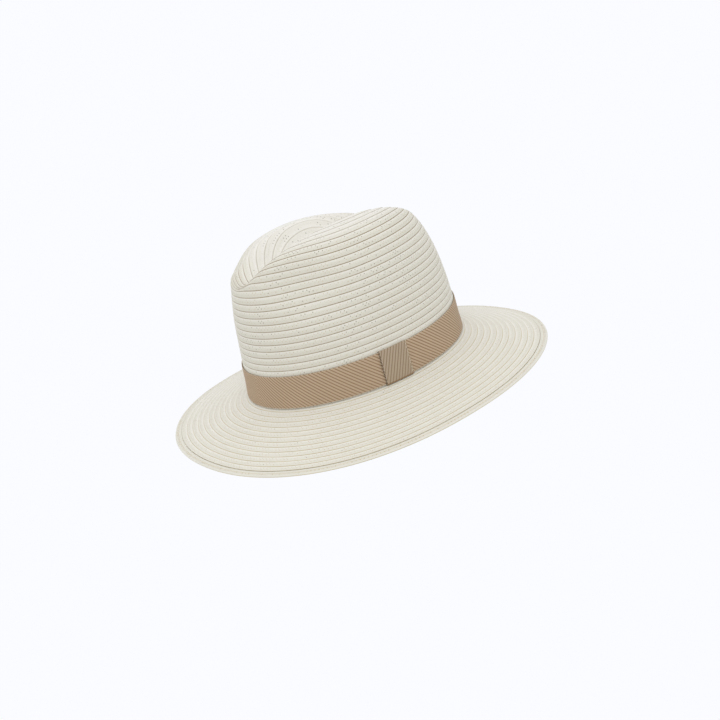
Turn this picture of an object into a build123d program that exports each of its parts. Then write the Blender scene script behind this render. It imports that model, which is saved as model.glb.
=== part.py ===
from functools import cache
from math import cos, pi, radians, sin, tanh
import os

import numpy as np
from build123d import *

# A straw hat that stands on the edge of its brim. +X is the wearer's left, -Y the front, +Z up.
# The origin is at the middle of the brim's outline, on the surface that the hat stands on.

# Driving dimensions, in millimetres
CROWN_HALF_WIDTH = 84.15
CROWN_HALF_LENGTH = 100.1
CROWN_CENTRE_Y = 1.7
CROWN_POWER = 2.01
BREAK_HEIGHT = 25.6
BREAK_SLOPE = 0.002
DOME_HEIGHT = 131.25
TAPER = 0.1142
LEAN = 0.066
LEAN_FRONT = -0.0405
FRONT_POWER = 8.41
SIDE_POWER = 4.52
REAR_POWER = 2.927
START_HALF_LENGTH = 16.0

RIDGE_HEIGHT = 126.5
RIDGE_DOME = 0.00309
RIDGE_PEAK_Y = -4.0
RIDGE_HALF_WIDTH = 35.2
RIDGE_HALF_WIDTH_FRONT = 19.9
RIDGE_SKEW = 4.9
DENT_DEPTH = 27.0
SHOULDER_LIFT = 0.26
SHOULDER_DROP = 6.8
LIP_DEPTH = 4.0
PINCH_DEPTH = 9.0
PINCH_Y = -60.0
PINCH_HEIGHT = 98.0

BRIM_HALF_WIDTH = 155.4
BRIM_HALF_LENGTH = 166.3
BRIM_POWER = 2.16
BRIM_CURVE = 1.25
EDGE_ROW_SHARE = 0.087
EDGE_ROW_THICKNESS = 2.2

STRAW = 1.6
GAP = 0.1
FOOT_RISE = 0.5
COURSE = 5.45
SIDE_COURSES = 17
MERIDIAN = 180.0
START_COIL = 3 * COURSE

RIBBON = 0.6
BAND_HEIGHT = 27.0
BAND_OFFSET = 0.8
KEEPER_Y = -14.3
KEEPER_WIDTH = 26.4
KEEPER_HANG = 0.8
SWEATBAND = 0.9
SWEATBAND_HEIGHT = 31.0
WIRE = 1.2
CHANNEL = 1.5

START_SLIT = 0.6
BRIM_REACH = 69.0
EDGE_GAP_SHARE = 0.0015
EDGE_COVER = 0.8
SLEEVE_LENGTH = 24.0
BAND_LIFT = 1.4
THREAD = 0.5
KEEPER_STITCHES = 8
KEEPER_STITCH_ANGLES = (74.6, 87.0)
TACK_ANGLES = (20, 60, 120, 160, 200, 240, 300, 340)
SWEATBAND_STITCHES = 96
STITCH_LENGTH = 4.0
SEAM_RISE = 3.0
LABEL_WIDTH = 24.0
LABEL_RISE = 9.0
LABEL_HEIGHT = 14.0
LABEL_THICKNESS = 0.4

HALF_RIBS = 21
OUTLINE_POINTS = 48


def smooth_step(value, start, end):
    share = np.clip((value - start) / (end - start), 0, 1)
    return share * share * (3 - 2 * share)


def smooth_min(first, second, blend):
    share = np.clip(0.5 + 0.5 * (second - first) / blend, 0, 1)
    return second * (1 - share) + first * share - blend * share * (1 - share)


def oval(angle, half_width, half_length, power):
    """A point of a superellipse; the angle is 0 at the front and a quarter turn at the wearer's left."""
    s, c = sin(angle), cos(angle)
    x = half_width * np.sign(s) * abs(s) ** (2 / power)
    y = -half_length * np.sign(c) * abs(c) ** (2 / power)
    return x, y


def crown_oval(angle):
    """A point of the foot of the crown."""
    x, y = oval(angle, CROWN_HALF_WIDTH, CROWN_HALF_LENGTH, CROWN_POWER)
    return x, y + CROWN_CENTRE_Y


@cache
def dome_profile(power):
    """Plan scale, height and arc length up the dome before it is blocked, for one corner sharpness."""
    turn = np.linspace(0, pi / 2, 200)
    lift = np.sin(turn) ** (2 / power)
    scale = (1 - TAPER * lift) * np.maximum(np.cos(turn), 0) ** (2 / power)
    height = DOME_HEIGHT * lift
    steps = np.hypot(np.diff(scale) * CROWN_HALF_WIDTH, np.diff(height))
    return scale, height, np.concatenate([[0], np.cumsum(steps)])


def break_height(y):
    """Height of the line where the crown meets the brim; it is a little higher at the rear."""
    return BREAK_HEIGHT + BREAK_SLOPE * y


def crown_point(angle, rise):
    """A point of the crown's outer surface, by its distance up the straw from the brim."""
    c = cos(angle)
    power = SIDE_POWER
    power += (FRONT_POWER - SIDE_POWER) * c**3 if c > 0 else (REAR_POWER - SIDE_POWER) * c**2
    scale, height, length = dome_profile(round(power, 4))
    along = rise + (length[-1] - MERIDIAN) * (rise / MERIDIAN) ** 3
    k = np.interp(along, length, scale)
    z = np.interp(along, length, height)
    x, y = crown_oval(angle)
    start = -START_HALF_LENGTH * c
    x, y = x * k, start + (y - start) * k
    y += (LEAN + LEAN_FRONT * (1 + c) / 2 + BREAK_SLOPE) * z
    # Blocking: the roof line, the centre dent, then the two pinches at the front
    ridge = RIDGE_HEIGHT - RIDGE_DOME * (y - RIDGE_PEAK_Y) ** 2
    ridge += RIDGE_SKEW * np.clip(x / RIDGE_HALF_WIDTH, -1, 1)
    half = RIDGE_HALF_WIDTH_FRONT
    half += (RIDGE_HALF_WIDTH - RIDGE_HALF_WIDTH_FRONT) * smooth_step(y, -95, -30)
    dent = LIP_DEPTH + (DENT_DEPTH - LIP_DEPTH) * smooth_step(y, -95, -30)
    dent *= 1 - smooth_step(y, 40, 90)
    z = smooth_min(z, ridge - dent * (1 - (x / half) ** 2), 4)
    z = smooth_min(z, ridge + SHOULDER_LIFT - SHOULDER_DROP * max(abs(x) / half - 1, 0) ** 2, 6)
    pinch = PINCH_DEPTH * np.exp(-(((y - PINCH_Y) / 26) ** 2) - ((z - PINCH_HEIGHT) / 22) ** 2)
    x -= tanh(x / 14) * pinch
    return np.array([x, y - BREAK_SLOPE * z, z + break_height(y)])


def crown_skin(angle, rise, offset):
    """A point that stands off the crown's outer surface by offset, outwards when positive."""
    step = 0.4
    across = crown_point(angle + 0.004, rise) - crown_point(angle - 0.004, rise)
    low, high = max(rise - step, 0), min(rise + step, MERIDIAN)
    up = crown_point(angle, high) - crown_point(angle, low)
    normal = np.cross(across, up)
    if sin(angle) ** 2 < 1e-9:
        normal[0] = 0
    return crown_point(angle, rise) + normal * (offset / np.linalg.norm(normal))


def brim_point(angle, share, offset):
    """A point of the brim's top, offset downwards; share is 0 at the crown and 1 at the edge."""
    inner = crown_oval(angle)
    outer = oval(angle, BRIM_HALF_WIDTH, BRIM_HALF_LENGTH, BRIM_POWER)
    x, y = (i + (o - i) * share for i, o in zip(inner, outer))
    top = break_height(inner[1])
    z = EDGE_ROW_THICKNESS + (top - EDGE_ROW_THICKNESS) * (1 - max(share, 0)) ** BRIM_CURVE
    return np.array([x, y, z - offset])


def rib(outer, inner):
    """The outline of a thin wall where a radial plane cuts it."""
    spacing = [i / (len(outer) - 1) for i in range(len(outer))]
    first = Edge.make_spline([Vector(*p) for p in outer], parameters=spacing)
    second = Edge.make_spline([Vector(*p) for p in inner], parameters=spacing)
    start = Edge.make_line(first @ 0, second @ 0)
    end = Edge.make_line(first @ 1, second @ 1)
    return Wire([first, end, second, start])


def wall(ribs):
    return Solid.make_loft(ribs)


def crown_rib(angle, rises, outside, inside):
    outer = [crown_skin(angle, rise, outside) for rise in rises]
    inner = [crown_skin(angle, rise, inside) for rise in rises]
    return rib(outer, inner)


def brim_rib(angle, shares):
    upper = [brim_point(angle, share, 0) for share in shares]
    lower = [brim_point(angle, share, STRAW) for share in shares]
    return rib(upper, lower)


def spread(start, end, count):
    return [start + (end - start) * i / (count - 1) for i in range(count)]


HALVES = (spread(0, pi, HALF_RIBS), spread(pi, 2 * pi, HALF_RIBS))
SIDE_TOP = SIDE_COURSES * COURSE

# Side of the crown: the braid courses from the brim up to the shoulder
with BuildPart() as crown_side:
    for half in HALVES:
        add(wall([crown_rib(a, spread(FOOT_RISE, SIDE_TOP - 3 * GAP, 12), 0, -STRAW) for a in half]))
crown_side.part.label = "crown_side"
export_step(crown_side.part, "parts/crown_side.step")

# Tip of the crown: the courses over the shoulder and down into the centre dent
with BuildPart() as crown_tip:
    for half in HALVES:
        rises = spread(SIDE_TOP, MERIDIAN - START_COIL - 3 * GAP, 14)
        add(wall([crown_rib(a, rises, 0, -STRAW) for a in half]))
crown_tip.part.label = "crown_tip"
export_step(crown_tip.part, "parts/crown_tip.step")

# The first turns of braid, an oval coil sewn flat at the bottom of the dent
with BuildPart() as start_coil:
    for half in HALVES:
        rises = spread(MERIDIAN - START_COIL, MERIDIAN - START_SLIT, 6)
        add(wall([crown_rib(a, rises, 0, -STRAW) for a in half]))
start_coil.part.label = "start_coil"
export_step(start_coil.part, "parts/start_coil.step")

# Brim: the courses from the crown out to the last one
with BuildPart() as brim:
    for half in HALVES:
        shares = [-STRAW / BRIM_REACH, 0] + spread(0.06, 1 - EDGE_ROW_SHARE - EDGE_GAP_SHARE, 10)
        add(wall([brim_rib(a, shares) for a in half]))
brim.part.label = "brim"
export_step(brim.part, "parts/brim.step")

# Edge row: the last course, doubled over the wire that keeps the brim's shape; the hat stands on it
CHANNEL_OUTER = 1 - EDGE_COVER / BRIM_REACH
CHANNEL_INNER = CHANNEL_OUTER - CHANNEL / BRIM_REACH
CHANNEL_FLOOR = (EDGE_ROW_THICKNESS - CHANNEL) / 2


def brim_outline(share):
    """A closed curve around the brim at one share of its reach."""
    points = [brim_point(angle, share, 0)[:2] for angle in spread(0, 2 * pi, OUTLINE_POINTS + 1)[:-1]]
    return [(float(x), float(y)) for x, y in points]


def flat_ring(outer_share, inner_share, base):
    """A ring between two brim outlines, as a sketch at one height."""
    with BuildSketch(Plane.XY.offset(base)) as ring:
        with BuildLine():
            Spline(*brim_outline(outer_share), periodic=True)
        make_face()
        with BuildLine():
            Spline(*brim_outline(inner_share), periodic=True)
        make_face(mode=Mode.SUBTRACT)
    return ring.sketch


with BuildPart() as edge_row:
    add(flat_ring(1, 1 - EDGE_ROW_SHARE, 0))
    extrude(amount=EDGE_ROW_THICKNESS)
    add(flat_ring(CHANNEL_OUTER, CHANNEL_INNER, CHANNEL_FLOOR))
    extrude(amount=CHANNEL, mode=Mode.SUBTRACT)
edge_row.part.label = "edge_row"
export_step(edge_row.part, "parts/edge_row.step")

# Wire ring inside the edge row, cut at the rear where the sleeve joins its ends
MIDDLE_OUTER = (CHANNEL_OUTER + CHANNEL_INNER + WIRE / BRIM_REACH) / 2
MIDDLE_INNER = MIDDLE_OUTER - WIRE / BRIM_REACH
with BuildPart() as brim_wire:
    add(flat_ring(MIDDLE_OUTER, MIDDLE_INNER, (EDGE_ROW_THICKNESS - WIRE) / 2))
    extrude(amount=WIRE)
    with Locations((0, BRIM_HALF_LENGTH, EDGE_ROW_THICKNESS / 2)):
        Box(SLEEVE_LENGTH, 3 * EDGE_COVER + 3 * CHANNEL, 2 * WIRE, mode=Mode.SUBTRACT)
brim_wire.part.label = "brim_wire"
export_step(brim_wire.part, "parts/brim_wire.step")

# Sleeve over the butted ends of the wire
with BuildPart() as wire_sleeve:
    add(flat_ring(MIDDLE_OUTER, MIDDLE_INNER, (EDGE_ROW_THICKNESS - WIRE) / 2))
    extrude(amount=WIRE)
    with Locations((0, BRIM_HALF_LENGTH, EDGE_ROW_THICKNESS / 2)):
        Box(SLEEVE_LENGTH - 2 * GAP, 3 * EDGE_COVER + 3 * CHANNEL, 2 * WIRE, mode=Mode.INTERSECT)
wire_sleeve.part.label = "wire_sleeve"
export_step(wire_sleeve.part, "parts/wire_sleeve.step")

# Ribbon band round the foot of the crown
BAND_BOTTOM = BAND_LIFT
BAND_TOP = BAND_LIFT + BAND_HEIGHT
with BuildPart() as hatband:
    for half in HALVES:
        rises = spread(BAND_BOTTOM, BAND_TOP, 5)
        add(wall([crown_rib(a, rises, BAND_OFFSET + RIBBON, BAND_OFFSET) for a in half]))
hatband.part.label = "hatband"
export_step(hatband.part, "parts/hatband.step")

# Keeper: a short loop of the same ribbon wrapped round the band on the wearer's left
KEEPER_OUT = BAND_OFFSET + 2 * RIBBON + GAP
with BuildPart() as keeper:
    rises = spread(BAND_BOTTOM - KEEPER_HANG, BAND_TOP + RIBBON + GAP, 5)
    add(wall([crown_rib(a, rises, KEEPER_OUT, GAP) for a in HALVES[0]]))
    rises = spread(BAND_BOTTOM - GAP, BAND_TOP + GAP, 5)
    slot_out, slot_in = BAND_OFFSET + RIBBON + GAP / 2, BAND_OFFSET - GAP / 2
    add(wall([crown_rib(a, rises, slot_out, slot_in) for a in HALVES[0]]), mode=Mode.SUBTRACT)
    with Locations((CROWN_HALF_WIDTH, KEEPER_Y, BREAK_HEIGHT + BAND_HEIGHT / 2)):
        Box(CROWN_HALF_WIDTH, KEEPER_WIDTH, 2 * BAND_HEIGHT, mode=Mode.INTERSECT)
keeper.part.label = "keeper"
export_step(keeper.part, "parts/keeper.step")


def on_crown(angle, rise, offset):
    """A plane on the crown's surface: its x runs up the straw and its z points away from it."""
    here = crown_skin(angle, rise, offset)
    above = crown_skin(angle, rise + 1, offset)
    away = crown_skin(angle, rise, offset + 1)
    return Plane(origin=Vector(*here), x_dir=Vector(*(above - here)), z_dir=Vector(*(away - here)))


# Stitches along the two selvedges of the keeper
stitch_rises = spread(BAND_BOTTOM + 2, BAND_TOP - 2, KEEPER_STITCHES)
with BuildPart() as keeper_stitches:
    for angle in KEEPER_STITCH_ANGLES:
        places = [on_crown(radians(angle), r, KEEPER_OUT + THREAD / 2 + GAP) for r in stitch_rises]
        with Locations(*places):
            Box(3 * THREAD, THREAD, THREAD)
keeper_stitches.part.label = "keeper_stitches"
export_step(keeper_stitches.part, "parts/keeper_stitches.step")

# Tacks that hold the band to the straw, each just under the band's lower edge
with BuildPart() as band_tacks:
    with Locations(*[on_crown(radians(a), BAND_BOTTOM - THREAD, BAND_OFFSET) for a in TACK_ANGLES]):
        Box(THREAD, 3 * THREAD, THREAD)
band_tacks.part.label = "band_tacks"
export_step(band_tacks.part, "parts/band_tacks.step")

# Sweatband inside the foot of the crown
SWEATBAND_OUT = -STRAW - 3 * GAP
SWEATBAND_IN = SWEATBAND_OUT - SWEATBAND
with BuildPart() as sweatband:
    for half in HALVES:
        rises = spread(1, SWEATBAND_HEIGHT, 5)
        add(wall([crown_rib(a, rises, SWEATBAND_OUT, SWEATBAND_IN) for a in half]))
sweatband.part.label = "sweatband"
export_step(sweatband.part, "parts/sweatband.step")

# Lockstitches round the lower edge of the sweatband
stitch_angles = spread(0, 2 * pi, SWEATBAND_STITCHES + 1)[:-1]
with BuildPart() as sweatband_stitches:
    with Locations(*[on_crown(a, SEAM_RISE, SWEATBAND_IN - THREAD / 2 - GAP) for a in stitch_angles]):
        Box(THREAD, STITCH_LENGTH, THREAD)
sweatband_stitches.part.label = "sweatband_stitches"
export_step(sweatband_stitches.part, "parts/sweatband_stitches.step")

# Blank size label sewn on the inside of the sweatband at the rear
LABEL_OUT = SWEATBAND_IN - GAP
with BuildPart() as size_label:
    for half in HALVES:
        rises = spread(LABEL_RISE, LABEL_RISE + LABEL_HEIGHT, 4)
        add(wall([crown_rib(a, rises, LABEL_OUT, LABEL_OUT - LABEL_THICKNESS) for a in half]))
    with Locations((0, CROWN_HALF_LENGTH, BREAK_HEIGHT + LABEL_HEIGHT)):
        Box(LABEL_WIDTH, CROWN_HALF_LENGTH, 3 * LABEL_HEIGHT, mode=Mode.INTERSECT)
size_label.part.label = "size_label"
export_step(size_label.part, "parts/size_label.step")

pieces = (crown_side, crown_tip, start_coil, brim, edge_row, brim_wire, wire_sleeve, hatband, keeper)
pieces += (keeper_stitches, band_tacks, sweatband, sweatband_stitches, size_label)
for piece in pieces:
    made = piece.part
    print(f"{made.label:20} {made.volume:10.1f} mm3, {len(made.solids())} solids, valid {made.is_valid}")
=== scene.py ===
import math

import bpy
import numpy as np
from mathutils import Matrix, Vector


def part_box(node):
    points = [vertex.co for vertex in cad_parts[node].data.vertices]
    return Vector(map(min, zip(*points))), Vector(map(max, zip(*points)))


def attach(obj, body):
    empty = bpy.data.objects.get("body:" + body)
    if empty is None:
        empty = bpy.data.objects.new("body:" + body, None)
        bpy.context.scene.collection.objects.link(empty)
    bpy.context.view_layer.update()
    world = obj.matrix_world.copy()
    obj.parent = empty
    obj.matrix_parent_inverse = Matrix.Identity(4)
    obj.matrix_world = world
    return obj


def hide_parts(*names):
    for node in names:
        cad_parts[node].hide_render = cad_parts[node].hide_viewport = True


# A straw hat of sewn paper braid: every course of braid is a row of real geometry.
# Surfaces are worked out in millimetres, from the same formulas as the CAD model, and scaled to metres.

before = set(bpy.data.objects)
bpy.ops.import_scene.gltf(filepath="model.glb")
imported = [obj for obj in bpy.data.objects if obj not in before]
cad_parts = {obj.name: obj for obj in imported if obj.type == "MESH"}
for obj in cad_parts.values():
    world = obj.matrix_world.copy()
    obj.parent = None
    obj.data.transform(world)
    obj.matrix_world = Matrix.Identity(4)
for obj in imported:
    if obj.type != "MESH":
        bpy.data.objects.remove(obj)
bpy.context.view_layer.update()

MM = 0.001

# Driving dimensions, in millimetres; the ones that the frame gives are read from it
brim_low, brim_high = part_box("edge_row")
BRIM_HALF_WIDTH = brim_high.x / MM
BRIM_HALF_LENGTH = brim_high.y / MM
EDGE_THICKNESS = brim_high.z / MM
BRIM_POWER = 2.16
CROWN_HALF_WIDTH = 84.15
CROWN_HALF_LENGTH = 100.1
CROWN_CENTRE_Y = 1.7
CROWN_POWER = 2.01
BREAK_HEIGHT = 25.6
BREAK_SLOPE = 0.002
DOME_HEIGHT = 131.25
TAPER = 0.1142
LEAN = 0.066
LEAN_FRONT = -0.0405
FRONT_POWER = 8.41
SIDE_POWER = 4.52
REAR_POWER = 2.927
START_HALF_LENGTH = 16.0
RIDGE_HEIGHT = 126.5
RIDGE_DOME = 0.00309
RIDGE_PEAK_Y = -4.0
RIDGE_HALF_WIDTH = 35.2
RIDGE_HALF_WIDTH_FRONT = 19.9
RIDGE_SKEW = 4.9
DENT_DEPTH = 27.0
SHOULDER_LIFT = 0.26
SHOULDER_DROP = 6.8
LIP_DEPTH = 4.0
PINCH_DEPTH = 9.0
PINCH_Y = -60.0
PINCH_HEIGHT = 98.0
PINCH_LENGTH, PINCH_RISE, PINCH_WIDTH = 26, 22, 14
DENT_FRONT = (-95, -30)  # from where the dent starts, at the front, to where it is full
DENT_REAR = (40, 90)  # from where it begins to fade to where it has gone
ROOF_BLEND, SHOULDER_BLEND = 4, 6
BRIM_CURVE = 1.25
BRIM_REACH = 69.0
EDGE_ROW_SHARE = 0.087
EDGE_ROW_START = 1 - EDGE_ROW_SHARE
FLEX = 2.57
FLEX_TURN = math.radians(44.1)

STRAW = 1.6
COURSE = 180 / 33
SIDE_COURSES = 17
MERIDIAN = 180.0
START_COIL = 3 * COURSE
BRIM_COURSES = 13

RIBBON = 0.6
BAND_LIFT = 0.9
BAND_HEIGHT = 27.0
BAND_OFFSET = 0.6
SWEATBAND_HEIGHT = 31.0
COLUMNS = 480


def turns(count):
    """Angles evenly spaced once round."""
    return np.linspace(0, 2 * math.pi, count, endpoint=False)


def smooth_step(value, start, end):
    share = np.clip((value - start) / (end - start), 0, 1)
    return share * share * (3 - 2 * share)


def smooth_min(first, second, blend):
    share = np.clip(0.5 + 0.5 * (second - first) / blend, 0, 1)
    return second * (1 - share) + first * share - blend * share * (1 - share)


def oval(angle, half_width, half_length, power):
    """Points of a superellipse; the angle is 0 at the front and a quarter turn at the wearer's left."""
    s, c = np.sin(angle), np.cos(angle)
    x = half_width * np.sign(s) * np.abs(s) ** (2 / power)
    y = -half_length * np.sign(c) * np.abs(c) ** (2 / power)
    return x, y


def crown_oval(angle):
    """The outline of the foot of the crown."""
    x, y = oval(angle, CROWN_HALF_WIDTH, CROWN_HALF_LENGTH, CROWN_POWER)
    return x, y + CROWN_CENTRE_Y


def dome_profile(power):
    """Plan scale, height and arc length up the dome before it is blocked."""
    turn = np.linspace(0, math.pi / 2, 200)
    lift = np.sin(turn) ** (2 / power)
    scale = (1 - TAPER * lift) * np.maximum(np.cos(turn), 0) ** (2 / power)
    height = DOME_HEIGHT * lift
    steps = np.hypot(np.diff(scale) * CROWN_HALF_WIDTH, np.diff(height))
    return scale, height, np.concatenate([[0], np.cumsum(steps)])


def break_height(y):
    return BREAK_HEIGHT + BREAK_SLOPE * y


def crown_grid(angles, rises):
    """Points of the crown's outer surface, rises by angles, by the distance up the straw from the brim."""
    k = np.empty((len(rises), len(angles)))
    z = np.empty_like(k)
    for column, angle in enumerate(angles):
        c = math.cos(angle)
        power = SIDE_POWER
        power += (FRONT_POWER - SIDE_POWER) * c**3 if c > 0 else (REAR_POWER - SIDE_POWER) * c**2
        scale, height, length = dome_profile(power)
        along = rises + (length[-1] - MERIDIAN) * (rises / MERIDIAN) ** 3
        k[:, column] = np.interp(along, length, scale)
        z[:, column] = np.interp(along, length, height)
    x, y = crown_oval(angles)
    start = -START_HALF_LENGTH * np.cos(angles)
    x, y = x * k, start + (y - start) * k
    y = y + (LEAN + LEAN_FRONT * (1 + np.cos(angles)) / 2 + BREAK_SLOPE) * z
    ridge = RIDGE_HEIGHT - RIDGE_DOME * (y - RIDGE_PEAK_Y) ** 2
    ridge += RIDGE_SKEW * np.clip(x / RIDGE_HALF_WIDTH, -1, 1)
    behind_lip = smooth_step(y, *DENT_FRONT)
    half = RIDGE_HALF_WIDTH_FRONT + (RIDGE_HALF_WIDTH - RIDGE_HALF_WIDTH_FRONT) * behind_lip
    dent = LIP_DEPTH + (DENT_DEPTH - LIP_DEPTH) * behind_lip
    dent *= 1 - smooth_step(y, *DENT_REAR)
    z = smooth_min(z, ridge - dent * (1 - (x / half) ** 2), ROOF_BLEND)
    shoulder = SHOULDER_LIFT - SHOULDER_DROP * np.maximum(np.abs(x) / half - 1, 0) ** 2
    z = smooth_min(z, ridge + shoulder, SHOULDER_BLEND)
    pinch = PINCH_DEPTH * np.exp(-(((y - PINCH_Y) / PINCH_LENGTH) ** 2) - ((z - PINCH_HEIGHT) / PINCH_RISE) ** 2)
    x = x - np.tanh(x / PINCH_WIDTH) * pinch
    return np.stack([x, y - BREAK_SLOPE * z, z + break_height(y)], -1)


def brim_grid(angles, shares):
    """Points of the brim's top, shares by angles; a share is 0 at the crown and 1 at the edge."""
    share = np.asarray(shares)[:, None]
    ix, iy = crown_oval(angles)
    ox, oy = oval(angles, BRIM_HALF_WIDTH, BRIM_HALF_LENGTH, BRIM_POWER)
    x = ix + (ox - ix) * share
    y = iy + (oy - iy) * share
    drop = np.clip(1 - share, 0, 1.2) ** BRIM_CURVE
    z = EDGE_THICKNESS + (break_height(iy) - EDGE_THICKNESS) * drop + flex(angles, share)
    return np.stack([x, y, z], -1)


def flex(angles, share):
    """How far the soft brim has lifted off the table: two low waves, one at the rear on the wearer's left and one at
    the front on the wearer's right. The edge of the CAD model's brim lies flat."""
    return FLEX * (1 - np.cos(2 * (angles - FLEX_TURN))) * smooth_step(share, 0, 1)


def round_lengths(grid):
    """Distance round each row of a closed grid, with one more column than the grid has."""
    closed = np.concatenate([grid, grid[:, :1]], 1)
    steps = np.linalg.norm(np.diff(closed, axis=1), axis=-1)
    return np.concatenate([np.zeros((len(grid), 1)), np.cumsum(steps, 1)], 1)


def wave(angles, seed, turns=(2, 3, 5, 9)):
    """A smooth unevenness round the hat, about one unit high, the same on each run."""
    random = np.random.default_rng(seed)
    total = np.zeros_like(angles)
    for turn in turns:
        total += np.sin(turn * angles + random.uniform(0, 2 * math.pi)) / turn**0.6
    return total / 2


def grid_faces(rows, columns, first, flip, wrap=True):
    """Quads between the rows of a grid, as vertex numbers."""
    steps = columns if wrap else columns - 1
    r, c = np.meshgrid(np.arange(rows - 1), np.arange(steps), indexing="ij")
    n = (c + 1) % columns
    quads = np.stack([r * columns + c, r * columns + n, (r + 1) * columns + n, (r + 1) * columns + c], -1)
    corner = np.stack([c, c + 1, c + 1, c], -1)
    line = np.stack([r, r, r + 1, r + 1], -1)
    quads, corner, line = (q.reshape(-1, 4) for q in (quads + first, corner, line))
    if flip:
        quads, corner, line = quads[:, ::-1], corner[:, ::-1], line[:, ::-1]
    return quads, line, corner


def make_object(name, points, faces, coords, sharp=35):
    """A smooth-shaded mesh object from points in millimetres, with coords as its UV map in millimetres."""
    mesh = bpy.data.meshes.new(name)
    mesh.from_pydata((points * MM).tolist(), [], faces if isinstance(faces, list) else faces.tolist())
    layer = mesh.uv_layers.new(name="along")
    layer.data.foreach_set("uv", coords.reshape(-1).astype(np.float32))
    mesh.polygons.foreach_set("use_smooth", [True] * len(mesh.polygons))
    mesh.set_sharp_from_angle(angle=math.radians(sharp))
    mesh.validate()
    piece = bpy.data.objects.new(name, mesh)
    bpy.context.scene.collection.objects.link(piece)
    return piece


def shell(name, outer, inner, outer_uv, inner_uv, wrap=True, sharp=35):
    """A closed thin wall between two grids of the same size. The UV grids have a column more when it wraps."""
    rows, columns = outer.shape[:2]
    points = np.concatenate([outer.reshape(-1, 3), inner.reshape(-1, 3)])
    faces, coords = [], []
    for first, flip, uv in ((0, False, outer_uv), (rows * columns, True, inner_uv)):
        quads, line, corner = grid_faces(rows, columns, first, flip, wrap)
        faces.append(quads)
        coords.append(uv[line, corner])
    count = rows * columns
    steps = columns if wrap else columns - 1
    c = np.arange(steps)
    n = (c + 1) % columns
    for row, flip in ((0, False), (rows - 1, True)):
        base = row * columns
        rim = np.stack([base + c, count + base + c, count + base + n, base + n], -1)
        uv = np.stack([outer_uv[row, c], inner_uv[row, c], inner_uv[row, c + 1], outer_uv[row, c + 1]], 1)
        faces.append(rim[:, ::-1] if flip else rim)
        coords.append(uv[:, ::-1] if flip else uv)
    if not wrap:
        r = np.arange(rows - 1)
        for column, flip in ((0, True), (columns - 1, False)):
            low, high = r * columns + column, (r + 1) * columns + column
            side = np.stack([low, count + low, count + high, high], -1)
            start, end = (r, column), (r + 1, column)
            uv = np.stack([outer_uv[start], inner_uv[start], inner_uv[end], outer_uv[end]], 1)
            faces.append(side[:, ::-1] if flip else side)
            coords.append(uv[:, ::-1] if flip else uv)
    return make_object(name, points, np.concatenate(faces), np.concatenate(coords), sharp)


# ---------------------------------------------------------------- straw

# Across one course of braid, from its free edge (0) to where it is tucked under the next (1):
# the place along the surface, as a share of the course, and the height off the middle surface in mm
COURSE_SHAPE = (
    (0.02, -0.30), (-0.03, -0.08), (-0.035, 0.14), (0.02, 0.27),
    (0.22, 0.31), (0.5, 0.26), (0.78, 0.15), (0.97, -0.04),
)
# The heights of the inside at the same rows
COURSE_INSIDE = (0.0, -0.2, -0.3, -0.38, -0.4, -0.36, -0.2, 0.0)


def course_rows(first, last):
    """For each row: its place in courses, its heights outside and inside, how far across its course, and which."""
    place, outside, inside, across, number = [], [], [], [], []
    for course in range(first, last):
        for (share, height), within in zip(COURSE_SHAPE, COURSE_INSIDE):
            place.append(course + share)
            outside.append(height)
            inside.append(within)
            number.append(course)
            across.append(min(max(share, 0.0), 1.0))
    return (np.array(v) for v in (place, outside, inside, across, number))


ANGLES = turns(COLUMNS)
SIDE_COLUMNS = 360  # fewer than COLUMNS, since this piece has the most courses
NORMAL_STEP = 0.35
STRAW_INSIDE = 1.15
UNEVEN_SHARE, UNEVEN_HEIGHT = 0.12, 0.10
UNEVEN_TURNS = (7, 13, 24, 41)
BRIM_SINK = 0.3  # the middle surface of the brim's straw lies this far under its top


def straw_shell(name, surface, first, last, pitch, seed, columns=COLUMNS):
    """A stretch of sewn courses, as a closed shell. surface gives the middle surface for angles and places in mm."""
    angles = turns(columns)
    place, outside, inside, across, number = course_rows(first, last)
    place = np.maximum(place * pitch, 0)
    middle = surface(angles, place)
    up = surface(angles, place + NORMAL_STEP) - surface(angles, place - NORMAL_STEP)
    around = np.roll(middle, -1, 1) - np.roll(middle, 1, 1)
    normal = np.cross(around, up)
    normal /= np.maximum(np.linalg.norm(normal, axis=-1, keepdims=True), 1e-9)
    uneven = np.stack([wave(angles, seed + n, UNEVEN_TURNS) for n in range(first, last)])[number - first]
    push = outside[:, None] * (1 + UNEVEN_SHARE * uneven) + UNEVEN_HEIGHT * uneven
    outer = middle + normal * push[..., None]
    inner = middle + normal * (inside[:, None] - STRAW_INSIDE)[..., None]
    lengths = round_lengths(surface(angles, (np.arange(first, last) + 0.5) * pitch))[number - first]
    shift = np.random.default_rng(seed).uniform(0, 50, last - first)[number - first]
    uv = np.stack([lengths + shift[:, None], np.broadcast_to((number + across)[:, None], lengths.shape)], -1)
    return shell(name, outer, inner, uv, uv)


def crown_surface(angles, place):
    return crown_grid(angles, np.clip(place, 0, MERIDIAN - 0.05))


def brim_surface(angles, place):
    """Places run inwards from the edge row, so that rows go up the same way as on the crown."""
    reach = BRIM_REACH * EDGE_ROW_START
    return brim_grid(angles, (reach - place) / BRIM_REACH) - (0, 0, BRIM_SINK)


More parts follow.
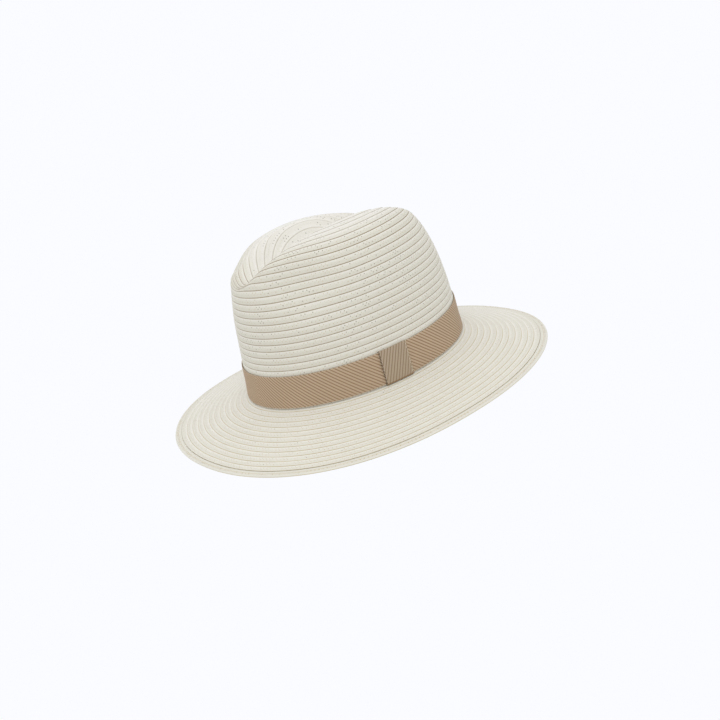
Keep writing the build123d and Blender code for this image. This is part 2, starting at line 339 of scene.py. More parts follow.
TOP_COURSE = round((MERIDIAN - START_COIL) / COURSE)
LAST_COURSE = round(MERIDIAN / COURSE)
BRIM_PITCH = BRIM_REACH * EDGE_ROW_START / (BRIM_COURSES - 0.5)
straw_side = straw_shell("straw_side", crown_surface, 0, SIDE_COURSES, COURSE, 11, SIDE_COLUMNS)
straw_tip = straw_shell("straw_tip", crown_surface, SIDE_COURSES, TOP_COURSE, COURSE, 41)
straw_coil = straw_shell("straw_coil", crown_surface, TOP_COURSE, LAST_COURSE, COURSE, 71)
straw_brim = straw_shell("straw_brim", brim_surface, 0, BRIM_COURSES, BRIM_PITCH, 91)


def rings(name, sections, angles):
    """Closed sections carried round the brim. Each is a list of (distance in from the edge, height),
    anticlockwise when seen with the edge on the left; a second one is a channel inside, the other way round."""
    points, faces, coords, first = [], [], [], 0
    for section in sections:
        inset, height = np.array(section).T
        grid = brim_grid(angles, 1 - inset / BRIM_REACH)
        grid[..., 2] = height[:, None] + flex(angles, 1.0)
        rows, columns = grid.shape[:2]
        steps = np.hypot(np.diff(inset, append=inset[0]), np.diff(height, append=height[0]))
        across = np.concatenate([[0], np.cumsum(steps)]) / np.sum(steps)
        uv = np.stack(np.broadcast_arrays(round_lengths(grid[:1]), across[:, None]), -1)
        quads, line, corner = grid_faces(rows + 1, columns, 0, False)
        points.append(grid.reshape(-1, 3))
        faces.append(quads % (rows * columns) + first)
        coords.append(uv[line, corner])
        first += rows * columns
    return make_object(name, np.concatenate(points), np.concatenate(faces), np.concatenate(coords))


# Section of the doubled last course: distances in from the edge and heights above the table
EDGE_SECTION = (
    (6.3, 0.8), (6.25, 1.4), (5.96, 1.75), (5.95, 2.6), (5.5, 2.87), (4.3, 2.75), (3.1, 2.42),
    (2.75, 2.1), (2.45, 2.05), (2.1, 2.22), (1.2, 2.32), (0.4, 1.98), (0.0, 1.15), (0.35, 0.4),
    (1.2, 0.02), (2.1, 0.1), (2.5, 0.4), (2.9, 0.1), (4.0, 0.0), (5.3, 0.2),
)
# Its length all round, and where round it the sewn lines are: (place, width, strength)
EDGE_LENGTH = 15.0
EDGE_LINES = ((0.31, 0.035, 0.35), (0.56, 0.03, 0.9))


def circle(inset, height, radius, count, turn=1):
    """A round section; a turn of -1 makes it a channel."""
    return [(inset + radius * math.cos(t), height + radius * math.sin(t)) for t in turn * turns(count)]


# The nylon wire lies in a channel in that course, as in the CAD model, but is round
wire_low, wire_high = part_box("brim_wire")
WIRE_RADIUS = (wire_high.z - wire_low.z) / 2 / MM
WIRE_HEIGHT = (wire_high.z + wire_low.z) / 2 / MM
WIRE_INSET = BRIM_HALF_WIDTH - wire_high.x / MM + WIRE_RADIUS
CHANNEL_RADIUS = WIRE_RADIUS + 0.12
WIRE_SIDES = 10
wire_channel = circle(WIRE_INSET, WIRE_HEIGHT, CHANNEL_RADIUS, WIRE_SIDES, -1)
straw_edge = rings("straw_edge", [EDGE_SECTION, wire_channel], ANGLES)
wire_round = rings("wire_round", [circle(WIRE_INSET, WIRE_HEIGHT, WIRE_RADIUS, WIRE_SIDES)], ANGLES)

# ---------------------------------------------------------------- ribbon

RIB_HEIGHT = 0.12
BAND_RIB_PITCH, BAND_RIB_TURN = 2.35, math.radians(40)
KEEPER_RIB_PITCH, KEEPER_RIB_TURN = 2.6, math.radians(22)
KEEPER_WIDTH = 26.4
# Ribs per millimetre along and up the ribbon, and the start
BAND_PHASE = (math.sin(BAND_RIB_TURN) / BAND_RIB_PITCH, math.cos(BAND_RIB_TURN) / BAND_RIB_PITCH, 0.0)
KEEPER_PHASE = (
    -math.cos(KEEPER_RIB_TURN) / KEEPER_RIB_PITCH, -math.sin(KEEPER_RIB_TURN) / KEEPER_RIB_PITCH,
    KEEPER_WIDTH * math.cos(KEEPER_RIB_TURN) / KEEPER_RIB_PITCH,
)


def ribs(along, up, phase):
    """Height of rounded ribs with narrow grooves, from 0 to 1."""
    return np.abs(np.sin(math.pi * (along * phase[0] + up * phase[1] + phase[2]))) ** 0.8


def on_crown(angles, rises, offsets, wrap=True):
    """Points off the crown's middle surface; offsets is one number per row or a whole grid."""
    grid = crown_grid(angles, np.asarray(rises, float))
    if wrap:
        around = np.roll(grid, -1, 1) - np.roll(grid, 1, 1)
    else:
        around = np.gradient(grid, axis=1)
    up = crown_grid(angles, np.asarray(rises, float) + 0.5) - grid
    normal = np.cross(around, up)
    normal /= np.linalg.norm(normal, axis=-1, keepdims=True)
    offsets = np.asarray(offsets, float)
    if offsets.ndim == 1:
        offsets = offsets[:, None]
    return grid + normal * offsets[..., None]


BAND_COLUMNS = 960
SELVAGE_ROWS = np.array([0, 0.35, 0.8])
band_angles = turns(BAND_COLUMNS)
band_rows = np.linspace(1.4, BAND_HEIGHT - 1.4, 38)
band_rises = BAND_LIFT + np.concatenate([SELVAGE_ROWS, band_rows, BAND_HEIGHT - SELVAGE_ROWS[::-1]])
band_along = round_lengths(on_crown(band_angles, band_rises, np.full(len(band_rises), BAND_OFFSET)))[:1]
band_up = (band_rises - BAND_LIFT)[:, None]
edge_fade = smooth_step(np.minimum(band_up, BAND_HEIGHT - band_up), 0.3, 1.3)
band_ribs = ribs(band_along[:, :-1], band_up, BAND_PHASE)
band_lift = 0.12 * wave(band_angles, 5, (3, 5, 8))[None] + 0.15 * np.cos(band_up / BAND_HEIGHT * 2 * math.pi)
band_out = BAND_OFFSET + RIBBON + band_lift + RIB_HEIGHT * band_ribs * edge_fade
band_in = BAND_OFFSET + band_lift
band_uv = np.stack(np.broadcast_arrays(band_along, band_up), -1)
ribbon_band = shell(
    "ribbon_band", on_crown(band_angles, band_rises, band_out),
    on_crown(band_angles, band_rises, band_in), band_uv, band_uv, sharp=60,
)

# Keeper: a flat loop of the same ribbon round the band. Its section goes up the front and down behind the band.
KEEPER_START, KEEPER_END = math.radians(73.1), math.radians(87.9)
KEEPER_COLUMNS = 49
KEEPER_RIBBON = 0.5
KEEPER_LOW = BAND_LIFT - 0.75
KEEPER_HIGH = BAND_LIFT + BAND_HEIGHT + 0.35
KEEPER_FRONT = 2.3
KEEPER_BACK = 0.2
FOLD_DROP = 0.3
KEEPER_ROWS = 41
FRONT_MIDDLE = KEEPER_ROWS // 2
CURL = 0.35


def loop_section(low, high, front, back, drop, count):
    """Rises and offsets once round a flat loop: up its front, over, down its back and under."""
    turn = np.linspace(0, math.pi, 8)[1:-1]
    straight = np.linspace(low, high, count)
    middle, radius = (front + back) / 2, (front - back) / 2
    rises = [straight, high + drop * np.sin(turn), straight[::-1], low - drop * np.sin(turn)]
    bend = radius * np.cos(turn)
    offsets = [np.full(count, front), middle + bend, np.full(count, back), middle - bend]
    return np.concatenate(rises), np.concatenate(offsets)


def ribbon_loop(name, angles, section, relief, thickness):
    """A closed flat loop of ribbon whose section goes round the band; relief takes distances along and round it."""
    rises, offsets = section
    grid = on_crown(angles, rises, offsets, wrap=False)[:, ::-1].transpose(1, 0, 2)
    middle = grid[len(grid) // 2]
    front_steps = np.linalg.norm(np.diff(grid[:, FRONT_MIDDLE], axis=0), axis=-1)
    along = np.concatenate([[0], np.cumsum(front_steps)])[:, None]
    about = round_lengths(middle[None])
    out = np.cross(np.roll(grid, -1, 1) - np.roll(grid, 1, 1), np.gradient(grid, axis=0))
    out /= np.linalg.norm(out, axis=-1, keepdims=True)
    uv = np.stack(np.broadcast_arrays(along, about), -1)
    height = relief(along, about[:, :-1])
    return shell(name, grid + out * height[..., None], grid - out * thickness, uv, uv, sharp=60)


def keeper_relief(along, about):
    """Ribs that die out at the selvages, and a front edge that curls off the band."""
    width = along[-1, 0]
    gap = np.minimum(along, width - along)
    curl = CURL * (1 - smooth_step(width - along, 0.0, 2.5))
    return RIB_HEIGHT * ribs(along, about, KEEPER_PHASE) * smooth_step(gap, 0.2, 1.2) + curl


ribbon_keeper = ribbon_loop(
    "ribbon_keeper", np.linspace(KEEPER_START, KEEPER_END, KEEPER_COLUMNS),
    loop_section(KEEPER_LOW, KEEPER_HIGH, KEEPER_FRONT, KEEPER_BACK, FOLD_DROP, KEEPER_ROWS),
    keeper_relief, KEEPER_RIBBON,
)

# ---------------------------------------------------------------- sweatband, label and stitches

SWEATBAND = 0.9
SWEATBAND_OUT = -STRAW - 0.3
SWEATBAND_IN = SWEATBAND_OUT - SWEATBAND
SWEATBAND_LOW = 1.0
SEAM_RISE = 3.0
LABEL_RISE = 9.0
LABEL_HEIGHT = 14.0
LABEL_WIDTH = 24.0
LABEL_OUT = SWEATBAND_IN - 0.1
LABEL_THICKNESS = 0.4
THREAD = 0.5

# How far up the sweatband each row is, and how far it swells there: thin edges, with a sewn line near each
sweat_share, sweat_bulge = np.array((
    (0, -0.25), (0.005, -0.08), (0.02, 0.1), (0.045, 0.1), (0.07, -0.12), (0.1, 0.1), (0.14, 0.2),
    (0.2, 0.22), (0.3, 0.2), (0.4, 0.15), (0.5, 0.1), (0.6, 0.1), (0.7, 0.1), (0.8, 0.12),
    (0.86, 0.12), (0.9, 0.1), (0.93, -0.1), (0.955, 0.12), (0.98, 0.14), (0.995, -0.05), (1, -0.25),
)).T
sweat_rises = SWEATBAND_LOW + (SWEATBAND_HEIGHT - SWEATBAND_LOW) * sweat_share
sweat_wave = 0.12 * wave(ANGLES, 23, (4, 7, 11))[None] * np.sin(math.pi * sweat_share)[:, None]
sweat_out = on_crown(ANGLES, sweat_rises, np.full((len(sweat_rises), COLUMNS), SWEATBAND_OUT))
sweat_in = on_crown(ANGLES, sweat_rises, SWEATBAND_IN + 0.15 - sweat_bulge[:, None] * 0.8 + sweat_wave)
sweat_uv = np.stack(np.broadcast_arrays(round_lengths(sweat_out)[:1], sweat_rises[:, None]), -1)
sweat_lining = shell("sweat_lining", sweat_out, sweat_in, sweat_uv, sweat_uv, sharp=50)


def angle_at_length(angles, lengths, length):
    """The angle at each length along a row that goes once round."""
    return np.interp(length, lengths, np.append(angles, 2 * math.pi))


SWEAT_MIDDLE = len(sweat_share) // 2
sweat_lengths = round_lengths(sweat_in)[SWEAT_MIDDLE]
rear = np.interp(math.pi, ANGLES, sweat_lengths[:-1])
LABEL_COLUMNS = 25
LABEL_EDGE_ROWS = np.array([0, 0.25, 0.8])
across_label = np.linspace(-1, 1, LABEL_COLUMNS)
label_angles = angle_at_length(
    ANGLES, sweat_lengths, rear + np.linspace(-LABEL_WIDTH / 2, LABEL_WIDTH / 2, LABEL_COLUMNS)
)
label_rows = np.linspace(1.5, LABEL_HEIGHT - 1.5, 13)
label_rises = LABEL_RISE + np.concatenate([LABEL_EDGE_ROWS, label_rows, LABEL_HEIGHT - LABEL_EDGE_ROWS[::-1]])
label_side = (1 - np.abs(across_label)) * LABEL_WIDTH / 2
label_end = np.minimum(label_rises - LABEL_RISE, LABEL_RISE + LABEL_HEIGHT - label_rises)
label_edge = np.minimum(label_end[:, None], label_side[None])
label_thickness = LABEL_THICKNESS * (0.6 + 0.4 * smooth_step(label_edge, 0, 1.0))
label_out = on_crown(label_angles, label_rises, np.full(label_edge.shape, LABEL_OUT), wrap=False)
label_in = on_crown(label_angles, label_rises, LABEL_OUT - label_thickness, wrap=False)
label_along = np.linspace(0, LABEL_WIDTH, LABEL_COLUMNS)
label_uv = np.stack(np.broadcast_arrays(label_along[None], (label_rises - LABEL_RISE)[:, None]), -1)
blank_label = shell("blank_label", label_out, label_in, label_uv, label_uv, wrap=False, sharp=50)


def crown_place(angle, rise, offset):
    """A point off the crown, with the directions up the straw, round the crown and outwards."""
    step = 0.002
    grid = crown_grid(np.array([angle - step, angle, angle + step]), np.array([rise, rise + 0.5]))
    up, around = grid[1, 1] - grid[0, 1], grid[0, 2] - grid[0, 0]
    out = np.cross(around, up)
    up, out = up / np.linalg.norm(up), out / np.linalg.norm(out)
    around = np.cross(up, out)
    return grid[0, 1] + out * offset, up, around, out


THREAD_RUNS, THREAD_SIDES = 9, 8


def stitches(name, places, turn, length, thread, arch):
    """Short bowed lengths of thread with round ends, one per place; turn is the direction from up towards round."""
    points, faces, coords = [], [], []
    along = np.linspace(-1, 1, THREAD_RUNS)
    sides = turns(THREAD_SIDES)
    rings_end = THREAD_RUNS * THREAD_SIDES
    for number, (centre, up, around, out) in enumerate(places):
        way = up * math.cos(turn) + around * math.sin(turn)
        side = np.cross(out, way)
        bow = 1 - along**2
        radius = thread / 2 * np.sqrt(np.clip(1 - np.abs(along) ** 6, 0.02, 1))
        spine = centre + way * (along * length / 2)[:, None] + out * (bow * arch - arch / 2)[:, None]
        round_spine = side * np.cos(sides)[None, :, None] + out * np.sin(sides)[None, :, None]
        tube = spine[:, None] + radius[:, None, None] * round_spine
        first = number * (rings_end + 2)
        quads, line, corner = grid_faces(THREAD_RUNS, THREAD_SIDES, first, False)
        tip = np.full(THREAD_SIDES, first + rings_end)
        c = np.arange(THREAD_SIDES)
        n = (c + 1) % THREAD_SIDES
        last = first + rings_end - THREAD_SIDES
        points += [tube.reshape(-1, 3), spine[:1] - way * 0.05, spine[-1:] + way * 0.05]
        faces += quads.tolist()
        faces += np.stack([first + n, first + c, tip], -1).tolist()
        faces += np.stack([last + c, last + n, tip + 1], -1).tolist()
        coords += [np.stack([corner * 0.2, line * length / 8], -1).reshape(-1, 2), np.zeros((6 * THREAD_SIDES, 2))]
    return make_object(name, np.concatenate(points), faces, np.concatenate(coords))


KEEPER_STITCHES = 8
stitch_rises = np.linspace(BAND_LIFT + 2, BAND_LIFT + BAND_HEIGHT - 2, KEEPER_STITCHES)
KEEPER_SEAMS = (73.6, 87.4)
keeper_places = [
    crown_place(math.radians(angle), rise, KEEPER_FRONT + 0.05) for angle in KEEPER_SEAMS for rise in stitch_rises
]
keeper_thread = stitches("keeper_thread", keeper_places, 0.35, 1.3, 0.45, 0.25)

TACK_ANGLES = (20, 60, 120, 160, 200, 240, 300, 340)
tack_places = [crown_place(math.radians(angle), BAND_LIFT - 0.35, 0.9) for angle in TACK_ANGLES]
tack_thread = stitches("tack_thread", tack_places, 0.3, 1.4, 0.4, 0.2)

SWEATBAND_STITCHES = 96
seam_lengths = (np.arange(SWEATBAND_STITCHES) + 0.5) * sweat_lengths[-1] / SWEATBAND_STITCHES
seam_angles = angle_at_length(ANGLES, sweat_lengths, seam_lengths)
seam_places = [crown_place(angle, SEAM_RISE, SWEATBAND_IN - 0.28) for angle in seam_angles]
sweat_thread = stitches("sweat_thread", seam_places, math.pi / 2, 4.0, 0.45, -0.25)

# Sleeve crimped over the butted ends of the wire, at the rear of the brim
SLEEVE_HALF_ANGLE = 0.077
SLEEVE_SIDES = 16
CRIMPS = (-0.6, -0.2, 0.2, 0.6)
sleeve_angles = math.pi + np.linspace(-SLEEVE_HALF_ANGLE, SLEEVE_HALF_ANGLE, 49)


def sleeve(name, angles, radius, bore):
    """A short tube round the wire with four crimps in it."""
    turn = turns(SLEEVE_SIDES)
    run = np.linspace(-1, 1, len(angles))
    crimp = sum(np.exp(-(((run - place) / 0.07) ** 2)) for place in CRIMPS)
    grids = []
    for size, depth in ((radius, 0.16), (bore, 0.03)):
        inset = WIRE_INSET + (size - depth * crimp)[:, None] * np.cos(turn)
        height = WIRE_HEIGHT + size * np.sin(turn)
        base = np.stack([brim_grid(np.array([a]), 1 - row / BRIM_REACH)[:, 0] for a, row in zip(angles, inset)])
        base[..., 2] = height + flex(angles, 1.0)[:, None]
        grids.append(base)
    along, about = np.linspace(0, 24, len(angles)), np.arange(SLEEVE_SIDES + 1) * 0.3
    uv = np.stack(np.broadcast_arrays(along[:, None], about[None]), -1)
    return shell(name, grids[0], grids[1], uv, uv, sharp=40)


sleeve_crimped = sleeve("sleeve_crimped", sleeve_angles, WIRE_RADIUS + 0.1, WIRE_RADIUS + 0.02)

# ---------------------------------------------------------------- materials


class Graph:
    """A small helper that builds a node material."""

    def __init__(self, name, **constants):
        self.material = bpy.data.materials.new(name)
        self.material.use_nodes = True
        self.tree = self.material.node_tree
        self.tree.nodes.clear()
        self.shader = self.tree.nodes.new("ShaderNodeBsdfPrincipled")
        output = self.tree.nodes.new("ShaderNodeOutputMaterial")
        self.tree.links.new(self.shader.outputs[0], output.inputs[0])
        for key, value in constants.items():
            self.shader.inputs[key.replace("_", " ")].default_value = value

    def node(self, kind, inputs=(), out=0, **settings):
        made = self.tree.nodes.new("ShaderNode" + kind)
        for key, value in settings.items():
            setattr(made, key, value)
        pairs = inputs.items() if isinstance(inputs, dict) else enumerate(inputs)
        for key, value in pairs:
            if isinstance(value, bpy.types.NodeSocket):
                self.tree.links.new(value, made.inputs[key])
            elif value is not None:
                made.inputs[key].default_value = value
        return made.outputs[out]

    def math(self, operation, *values, clamp=False):
        return self.node("Math", values, operation=operation, use_clamp=clamp)

    def add(self, a, b):
        return self.math("ADD", a, b)

    def sub(self, a, b):
        return self.math("SUBTRACT", a, b)

    def mul(self, a, b):
        return self.math("MULTIPLY", a, b)

    def gap(self, a, b):
        """How far apart two values are."""
        return self.math("ABSOLUTE", self.sub(a, b))

    def ramp(self, value, low, high, start=0.0, end=1.0, smooth=True):
        kind = "SMOOTHSTEP" if smooth else "LINEAR"
        return self.node("MapRange", [value, low, high, start, end], interpolation_type=kind)

    def mix(self, share, first, second):
        made = self.tree.nodes.new("ShaderNodeMix")
        made.data_type = "RGBA"
        for key, value in ((0, share), (6, first), (7, second)):
            if isinstance(value, bpy.types.NodeSocket):
                self.tree.links.new(value, made.inputs[key])
            else:
                made.inputs[key].default_value = value
        return made.outputs[2]

    def noise(self, vector, scale, detail=2.0, roughness=0.5):
        settings = {"Vector": vector, "Scale": scale, "Detail": detail, "Roughness": roughness}
        return self.node("TexNoise", settings)

    def uv(self):
        place = self.split(self.node("UVMap", uv_map="along"))
        return place[0], place[1]

    def position(self):
        return self.node("TexCoord", out=3)

    def split(self, vector):
        made = self.tree.nodes.new("ShaderNodeSeparateXYZ")
        self.tree.links.new(vector, made.inputs[0])
        return made.outputs

    def vector(self, x, y, z=0.0):
        return self.node("CombineXYZ", [x, y, z])

    def colour(self, value):
        self.tree.links.new(value, self.shader.inputs["Base Color"])

    def rough(self, value):
        self.tree.links.new(value, self.shader.inputs["Roughness"])

    def bump(self, height, strength, distance):
        made = self.node("Bump", {"Strength": strength, "Distance": distance, "Height": height})
        self.tree.links.new(made, self.shader.inputs["Normal"])


def srgb(*values):
    linear = [v / 12.92 if v <= 0.04045 else ((v + 0.055) / 1.055) ** 2.4 for v in (c / 255 for c in values)]
    return (*linear, 1.0)


# Colours in sRGB, sizes in millimetres
STRAND = 1.7
NEEDLE_PITCH = 3.2
NEEDLE_ROWS = ((0.36, 0.0), (0.64, 0.45))  # how far across the course each row is, and where it starts
DENT_COURSES = (21.0, 25.5)
NEEDLE_TAN, NEEDLE_HOLE_SHADE = (182, 160, 108), (84, 74, 54)
# painted light: the paler tone of the brightly lit dent
DENT_PAINTED_LIGHT = (246, 245, 240)
RIBBON_DULL, FOLD_SHADE, FRONT_SHADOW = (150, 130, 106), (128, 98, 64), (78, 60, 42)
SELVAGE_LOOP, SELVAGE_PITCH = (206, 192, 170), 2.5


def straw_material(name, pitch, body, seam, seam_width, hole_share, lines=()):
    """Plaited paper strands, with tan at the sewn edge of each course, partly painted shadow, and small needle
    holes.
    """
    g = Graph(name, Roughness=0.62, Specular_IOR_Level=0.35, Sheen_Weight=0.08, Sheen_Roughness=0.4)
    along, place = g.uv()
    across = g.math("FRACT", place)
    course = g.math("FLOOR", place)
    over = g.mul(across, pitch)
    # the plait: strands that cross both ways, each on top in turn
    first = g.math("DIVIDE", g.add(along, over), STRAND)
    second = g.math("DIVIDE", g.sub(along, over), STRAND)
    ridges = []
    for way in (first, second):
        offset = g.sub(g.math("FRACT", way), 0.5)
        ridges.append(g.sub(1.0, g.mul(g.mul(offset, offset), 3.6)))
    cells = g.add(g.math("FLOOR", first), g.math("FLOOR", second))
    checker = g.math("MODULO", g.math("ABSOLUTE", cells), 2.0)
    plait = g.add(g.mul(ridges[0], checker), g.mul(ridges[1], g.sub(1.0, checker)))
    # needle holes, in two rows along each course: most show only tan; some are open, painted dark as shade inside
    # them
    up = g.split(g.position())[2]
    patch = g.noise(g.position(), 22.0, 2.0)
    open_share = g.mul(g.mul(g.ramp(patch, 0.38, 0.6), g.ramp(up, 0.05, 0.10, 0.3, 1.0)), hole_share)
    hole, slack = 0.0, 0.0
    for level, start in NEEDLE_ROWS:
        run = g.add(g.math("DIVIDE", along, NEEDLE_PITCH), start)
        beside = g.ramp(g.gap(g.math("FRACT", run), 0.5), 0.06, 0.13, 1.0, 0.0)
        above = g.ramp(g.gap(across, level), 0.03, 0.075, 1.0, 0.0)
        cell = g.vector(g.math("FLOOR", run), course, level)
        chance = g.node("TexWhiteNoise", [cell], noise_dimensions="3D")
        spot = g.mul(beside, above)
        hole = g.math("MAXIMUM", hole, g.mul(spot, g.math("LESS_THAN", chance, open_share)))
        slack = g.math("MAXIMUM", slack, g.mul(spot, g.ramp(chance, 0.2, 0.9, 1.0, 0.0)))
    # painted light: the crown is painted paler from the shoulder down into the dent, where it is lit brightest, and
    # its lines are fainter there
    dent = g.ramp(place, *DENT_COURSES)
    flat = g.ramp(dent, 0.0, 1.0, 1.0, 0.4)
    # uneven colour of the paper, darker between the strands; painted light: each course is painted paler towards its
    # upper, tucked edge, which faces up to the light
    light, dark, painted_top_light = (srgb(*colour) for colour in body)
    tan = srgb(*seam)
    fibre = g.noise(g.vector(first, second, course), 3.0, 3.0)
    broad = g.noise(g.position(), 14.0, 3.0)
    tone = g.mix(g.ramp(fibre, 0.3, 0.7), dark, light)
    tone = g.mix(g.mul(g.ramp(broad, 0.35, 0.7), 0.3), tone, dark)
    tone = g.mix(g.mul(g.ramp(plait, 0.0, 0.75, 1.0, 0.0), 0.16), tone, tan)
    # painted light on the upper part of each course
    tone = g.mix(g.mul(g.ramp(across, 0.35, 0.85), 0.7), tone, painted_top_light)
    # painted light: paler towards the dent
    tone = g.mix(g.mul(dent, 0.38), tone, srgb(*DENT_PAINTED_LIGHT))
    # tan along the seams, ragged where the next course laps over: partly the seam's own tan, partly painted shadow
    # under that lap
    ragged = g.noise(g.vector(along, 0.0, course), 0.9, 2.0)
    edge = g.mul(g.ramp(across, 1.0 - seam_width, 0.97), g.ramp(ragged, 0.25, 0.6, 0.55, 1.0))
    under = g.ramp(across, 0.0, 0.02, 1.0, 0.0)
    shade = g.mul(g.math("MAXIMUM", edge, under), flat)
    for centre, width, strength in lines:
        shade = g.math("MAXIMUM", shade, g.ramp(g.gap(across, centre), 0.0, width, strength, 0.0))
    tone = g.mix(shade, tone, tan)
    tone = g.mix(g.mul(slack, g.mul(flat, 0.8)), tone, srgb(*NEEDLE_TAN))
    # painted shade inside the open needle holes
    tone = g.mix(g.mul(hole, 0.75), tone, srgb(*NEEDLE_HOLE_SHADE))
    g.colour(tone)
    g.rough(g.ramp(fibre, 0.2, 0.8, 0.50, 0.72))
    g.bump(g.sub(g.add(plait, g.mul(fibre, 0.5)), g.mul(hole, 1.8)), 0.5, 0.00020)
    return g.material


def ribbon_material(name, phase, crest, groove, height, width=None):
    """Ribbed ribbon; phase gives how many ribs there are per millimetre along and up it. A keeper has a width."""
    g = Graph(name, Roughness=0.6, Specular_IOR_Level=0.12, Sheen_Weight=0.03, Sheen_Roughness=0.35)
    along, up = g.uv()
    turn = g.add(g.mul(along, phase[0]), g.add(g.mul(up, phase[1]), phase[2]))
    rib = g.math("ABSOLUTE", g.math("SINE", g.mul(turn, math.pi)))
    grain = g.noise(g.vector(g.mul(along, 3.2), g.mul(up, 1.2)), 1.0, 3.0)
    broad = g.noise(g.position(), 18.0, 2.0)
    # painted shade and highlight: the grooves between the ribs painted darker, the crests paler
    tone = g.mix(g.ramp(rib, 0.15, 0.8), srgb(*groove), srgb(*crest))
    tone = g.mix(g.mul(g.ramp(grain, 0.3, 0.75), 0.22), tone, srgb(*groove))
    tone = g.mix(g.mul(g.ramp(broad, 0.35, 0.7), 0.2), tone, srgb(*RIBBON_DULL))
    if width is None:
        side = g.math("MINIMUM", up, g.sub(height, up))
        run = along
    else:
        side = g.math("MINIMUM", along, g.sub(width, along))
        run = up
        # painted shade: darker along the keeper's lower fold
        tone = g.mix(g.ramp(g.gap(up, 0.2), 0.3, 1.3, 0.75, 0.0), tone, srgb(*FOLD_SHADE))
        tone = g.mix(g.ramp(g.sub(width, along), 0.35, 1.15, 0.85, 0.0), tone, srgb(*FRONT_SHADOW))
    # small loops of the weft along the selvages
    loops = g.ramp(g.math("SINE", g.mul(run, 2 * math.pi / SELVAGE_PITCH)), 0.1, 0.7)
    tone = g.mix(g.mul(loops, g.ramp(side, 0.15, 0.6, 0.8, 0.0)), tone, srgb(*SELVAGE_LOOP))
    g.colour(tone)
    g.rough(g.ramp(grain, 0.2, 0.8, 0.52, 0.70))
    g.bump(g.add(rib, g.mul(grain, 0.5)), 0.35, 0.00015)
    return g.material


def woven_material(name, light, dark, pitch, roughness, sheen=0.15):
    """Plain woven cloth: two sets of threads that pass over each other."""
    g = Graph(name, Roughness=roughness, Specular_IOR_Level=0.3, Sheen_Weight=sheen)
    along, up = g.uv()
    warp = g.math("SINE", g.mul(along, 2 * math.pi / pitch))
    weft = g.math("SINE", g.mul(up, 2 * math.pi / pitch))
    weave = g.mul(warp, weft)
    slub = g.noise(g.vector(along, g.mul(up, 0.25)), 1.3, 3.0)
    tone = g.mix(g.ramp(g.add(g.mul(weave, 0.25), slub), 0.2, 0.9), srgb(*dark), srgb(*light))
    g.colour(tone)
    g.rough(g.ramp(slub, 0.2, 0.8, roughness - 0.08, roughness + 0.08))
    g.bump(weave, 0.4, pitch * MM * 0.25)
    return g.material


def thread_material(name, light, dark):
    g = Graph(name, Roughness=0.6, Sheen_Weight=0.2)
    along, up = g.uv()
    twist = g.math("SINE", g.mul(g.add(up, g.mul(along, 1.2)), 14.0))
    g.colour(g.mix(g.ramp(twist, -1.0, 1.0), srgb(*dark), srgb(*light)))
    g.rough(g.ramp(twist, -1.0, 1.0, 0.66, 0.54))
    g.bump(twist, 0.4, 0.00008)
    return g.material


def nylon_material(name):
    g = Graph(name, Roughness=0.25, IOR=1.53, Specular_IOR_Level=0.5, Subsurface_Weight=0.1)
    along, up = g.uv()
    drawn = g.noise(g.vector(g.mul(along, 0.05), up), 4.0, 2.0)
    g.colour(g.mix(drawn, srgb(228, 226, 214), srgb(242, 240, 232)))
    g.rough(g.ramp(drawn, 0.2, 0.8, 0.18, 0.32))
    g.bump(drawn, 0.1, 0.00005)
    return g.material


def sleeve_material(name):
    g = Graph(name, Roughness=0.4, Metallic=1.0)
    along, up = g.uv()
    scratch = g.noise(g.vector(g.mul(along, 0.2), g.mul(up, 6.0)), 3.0, 3.0)
    g.colour(g.mix(scratch, srgb(176, 177, 180), srgb(206, 207, 210)))
    g.rough(g.ramp(scratch, 0.2, 0.8, 0.3, 0.5))
    g.bump(scratch, 0.2, 0.00005)
    return g.material


STUDIO_WHITE = (0.956, 0.965, 1.0, 1.0)


def studio_material(name):
    """The floor's even white, with a faint unevenness in its gloss."""
    g = Graph(name, Roughness=0.9, Specular_IOR_Level=0.0, Emission_Strength=1.0, Emission_Color=STUDIO_WHITE)
    grain = g.noise(g.position(), 3.0, 2.0)
    g.colour(g.mix(grain, (0.004, 0.004, 0.004, 1), (0.006, 0.006, 0.006, 1)))
    g.rough(g.ramp(grain, 0.2, 0.8, 0.85, 0.95))
    return g.material


# Straw: light, dark and painted light where it is tucked under; then the tan of its seams, partly painted shadow
CROWN_BODY = ((221, 218, 205), (205, 201, 185), (229, 226, 216))
# painted light: the brim's straw and seam tan are painted lighter than the crown's, as the brim faces up to the
# light
BRIM_BODY = ((227, 224, 213), (212, 208, 194), (235, 233, 224))
CROWN_TAN, BRIM_TAN = (138, 112, 60), (196, 180, 132)
straw_crown_look = straw_material("straw_crown", COURSE, CROWN_BODY, CROWN_TAN, 0.17, 0.36)
straw_brim_look = straw_material("straw_brim", BRIM_PITCH, BRIM_BODY, BRIM_TAN, 0.10, 0.05)
straw_edge_look = straw_material("straw_edge", EDGE_LENGTH, BRIM_BODY, BRIM_TAN, 0.05, 0.05, EDGE_LINES)
band_look = ribbon_material("ribbon_band", BAND_PHASE, (189, 167, 140), (136, 108, 79), BAND_HEIGHT)
keeper_look = ribbon_material(
    "ribbon_keeper", KEEPER_PHASE, (175, 158, 136), (138, 118, 94), BAND_HEIGHT, KEEPER_WIDTH
)
lining_look = woven_material("cotton_lining", (216, 210, 192), (196, 188, 168), 0.7, 0.8)
label_look = woven_material("satin_label", (236, 234, 226), (222, 219, 210), 0.35, 0.42, 0.3)
pale_thread_look = thread_material("pale_thread", (214, 205, 182), (190, 178, 150))
nylon_look = nylon_material("clear_nylon")
sleeve_look = sleeve_material("crimped_aluminium")

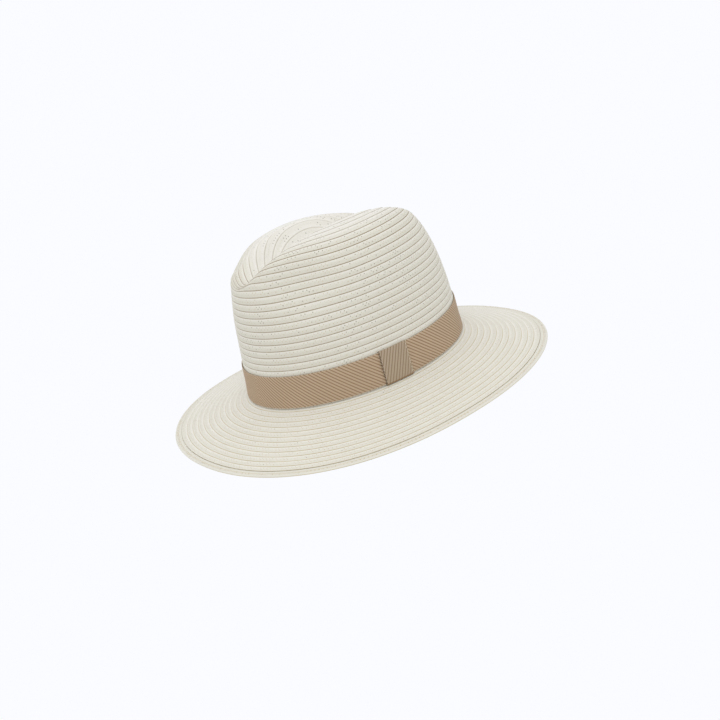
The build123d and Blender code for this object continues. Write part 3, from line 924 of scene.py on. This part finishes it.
PIECES = (
    (straw_side, "crown_side", "straw", straw_crown_look),
    (straw_tip, "crown_tip", "straw", straw_crown_look),
    (straw_coil, "start_coil", "straw", straw_crown_look),
    (straw_brim, "brim", "straw", straw_brim_look),
    (straw_edge, "edge_row", "straw", straw_edge_look),
    (wire_round, "brim_wire", "wire", nylon_look),
    (sleeve_crimped, "wire_sleeve", "sleeve", sleeve_look),
    (ribbon_band, "hatband", "ribbon", band_look),
    (ribbon_keeper, "keeper", "ribbon", keeper_look),
    (keeper_thread, "keeper_stitches", "thread", pale_thread_look),
    (tack_thread, "band_tacks", "thread", pale_thread_look),
    (sweat_lining, "sweatband", "lining", lining_look),
    (sweat_thread, "sweatband_stitches", "thread", pale_thread_look),
    (blank_label, "size_label", "label", label_look),
)
for piece, node, slot, look in PIECES:
    piece.data.materials.append(look)
    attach(piece, "root")
    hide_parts(node)

# ---------------------------------------------------------------- floor, light and camera

bpy.ops.mesh.primitive_circle_add(vertices=96, radius=30, fill_type="NGON", location=(0, 0, -0.0004))
floor = bpy.context.object
floor.name = "studio_floor"
floor.data.materials.append(studio_material("studio_white"))

scene = bpy.context.scene
scene.view_settings.view_transform = "Standard"
world = bpy.data.worlds.new("studio")
scene.world = world
world.use_nodes = True
world.node_tree.nodes["Background"].inputs[0].default_value = STUDIO_WHITE
world.node_tree.nodes["Background"].inputs[1].default_value = 1.0

VIEW_AZIMUTH = math.radians(58.342)
VIEW_ELEVATION = math.radians(19.574)
VIEW_ROLL = math.radians(16.080)
VIEW_DISTANCE = 1.2
VIEW_CENTRE = Vector((0, 0, 0.0245))
AIM_RIGHT, AIM_UP = 0.00452, -0.00031
LENS, SENSOR = 69.43, 36

# Unit vectors of the view before its roll: towards the camera, to its right and up. The azimuth is from the front.
toward = Vector((
    math.cos(VIEW_ELEVATION) * math.sin(VIEW_AZIMUTH),
    -math.cos(VIEW_ELEVATION) * math.cos(VIEW_AZIMUTH),
    math.sin(VIEW_ELEVATION),
))
level = Vector((math.cos(VIEW_AZIMUTH), math.sin(VIEW_AZIMUTH), 0))
upright = toward.cross(level)
right = level * math.cos(VIEW_ROLL) - upright * math.sin(VIEW_ROLL)
up = level * math.sin(VIEW_ROLL) + upright * math.cos(VIEW_ROLL)
eye = VIEW_CENTRE + toward * VIEW_DISTANCE
back = (eye - (VIEW_CENTRE + right * AIM_RIGHT + up * AIM_UP)).normalized()
camera_right = up.cross(back).normalized()
camera_up = back.cross(camera_right)
camera_data = bpy.data.cameras.new("camera")
camera_data.lens = LENS
camera_data.sensor_width = SENSOR
camera = bpy.data.objects.new("camera", camera_data)
camera.matrix_world = Matrix.Translation(eye) @ Matrix((camera_right, camera_up, back)).transposed().to_4x4()
scene.collection.objects.link(camera)
scene.camera = camera


def soft_light(name, place, size, power, colour):
    data = bpy.data.lights.new(name, "AREA")
    data.shape = "DISK"
    data.size = size
    data.energy = power
    data.color = colour
    light = bpy.data.objects.new(name, data)
    light.location = place
    light.rotation_euler = (-Vector(place)).to_track_quat("-Z", "Y").to_euler()
    scene.collection.objects.link(light)


soft_light("key", (1.3, -0.9, 2.4), 1.6, 11, (1.0, 0.985, 0.96))
soft_light("top", (-0.2, 0.3, 2.8), 1.6, 5, (1.0, 0.99, 0.97))
